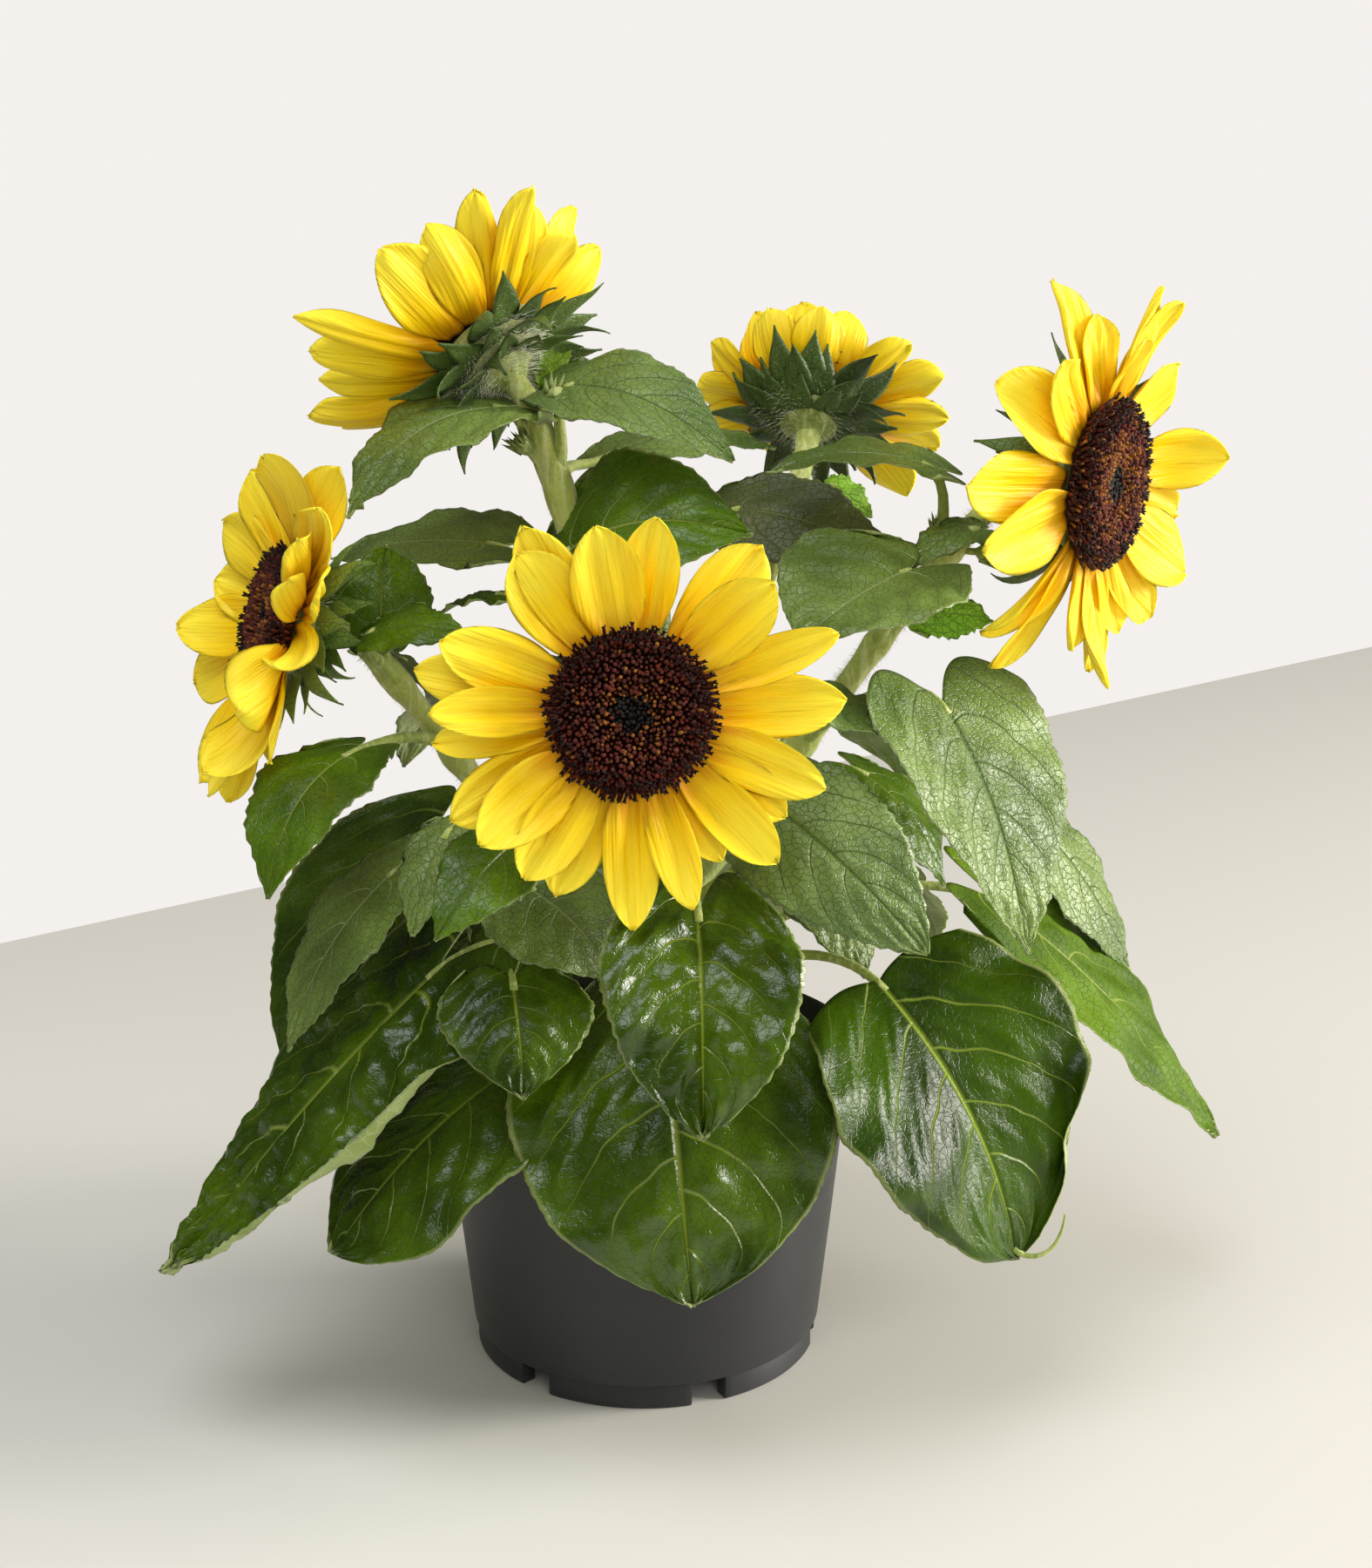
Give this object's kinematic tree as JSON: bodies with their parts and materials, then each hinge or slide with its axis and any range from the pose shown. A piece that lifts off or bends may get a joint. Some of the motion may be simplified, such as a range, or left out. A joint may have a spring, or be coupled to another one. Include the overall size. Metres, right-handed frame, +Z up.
{
  "type": "potted dwarf sunflower plant",
  "caption": "Potted dwarf branching sunflower with large golden blooms, heart-shaped hanging leaves and a plain grower pot with a rim band and feet.",
  "frame": {"origin": "middle of the pot's underside, on the surface that it stands on", "axes": "+Z up; -Y towards the front, where the large front bloom faces; +X to the right seen from the front"},
  "size_m": [0.4202, 0.3302, 0.4651],
  "materials": {
    "pot": "dark charcoal moulded plastic, faintly grained",
    "soil": "moist dark potting soil, crumbly",
    "stem": "light green, covered in short pale hairs",
    "leaf": "dark green, glossy and puckered below, dull and finely hairy above",
    "calyx": "green, woolly, with pointed bracts",
    "petal": "golden yellow, satin, with fine lengthwise grooves",
    "disc": "maroon brown florets, rough, with a near black middle"
  },
  "bodies": {
    "root": {"pot": "pot", "soil": "soil", "stem_main": "stem", "bloom_main_cup": "calyx", "bloom_main_rays": "petal", "bloom_main_disc": "disc", "stem_left": "stem", "bloom_left_cup": "calyx", "bloom_left_rays": "petal", "bloom_left_disc": "disc", "stem_front": "stem", "bloom_front_cup": "calyx", "bloom_front_rays": "petal", "bloom_front_disc": "disc", "stem_right": "stem", "bloom_right_cup": "calyx", "bloom_right_rays": "petal", "bloom_right_disc": "disc", "stem_back": "stem", "bloom_back_cup": "calyx", "bloom_back_rays": "petal", "bloom_back_disc": "disc", "leaf_apron": "leaf", "leaf_cascade": "leaf", "leaf_left_long": "leaf", "leaf_left_broad": "leaf", "leaf_right_broad": "leaf", "leaf_right_behind": "leaf", "leaf_right_pale": "leaf", "leaf_left_back": "leaf", "leaf_left_grey": "leaf", "leaf_left_inner": "leaf", "leaf_small_left": "leaf", "leaf_under_bloom": "leaf", "leaf_under_left": "leaf", "leaf_front_right": "leaf", "leaf_right_heart": "leaf", "leaf_right_mid": "leaf", "leaf_behind_bloom": "leaf", "leaf_right_top": "leaf", "leaf_back_long": "leaf", "leaf_back_dark": "leaf", "leaf_right_stub": "leaf", "leaf_top_right": "leaf", "leaf_top_back": "leaf", "leaf_upper_big": "leaf", "leaf_top_left": "leaf", "leaf_top_small": "leaf", "leaf_left_upper": "leaf", "leaf_left_fan": "leaf", "leaf_left_side": "leaf", "leaf_left_dark": "leaf", "leaf_left_hang": "leaf", "leaf_back_low": "leaf", "leaf_back_low_left": "leaf", "leaf_back_low_right": "leaf", "leaf_back_mid": "leaf", "leaf_back_mid_left": "leaf", "leaf_back_mid_right": "leaf", "leaf_back_upper": "leaf"}
  },
  "joints": []
}
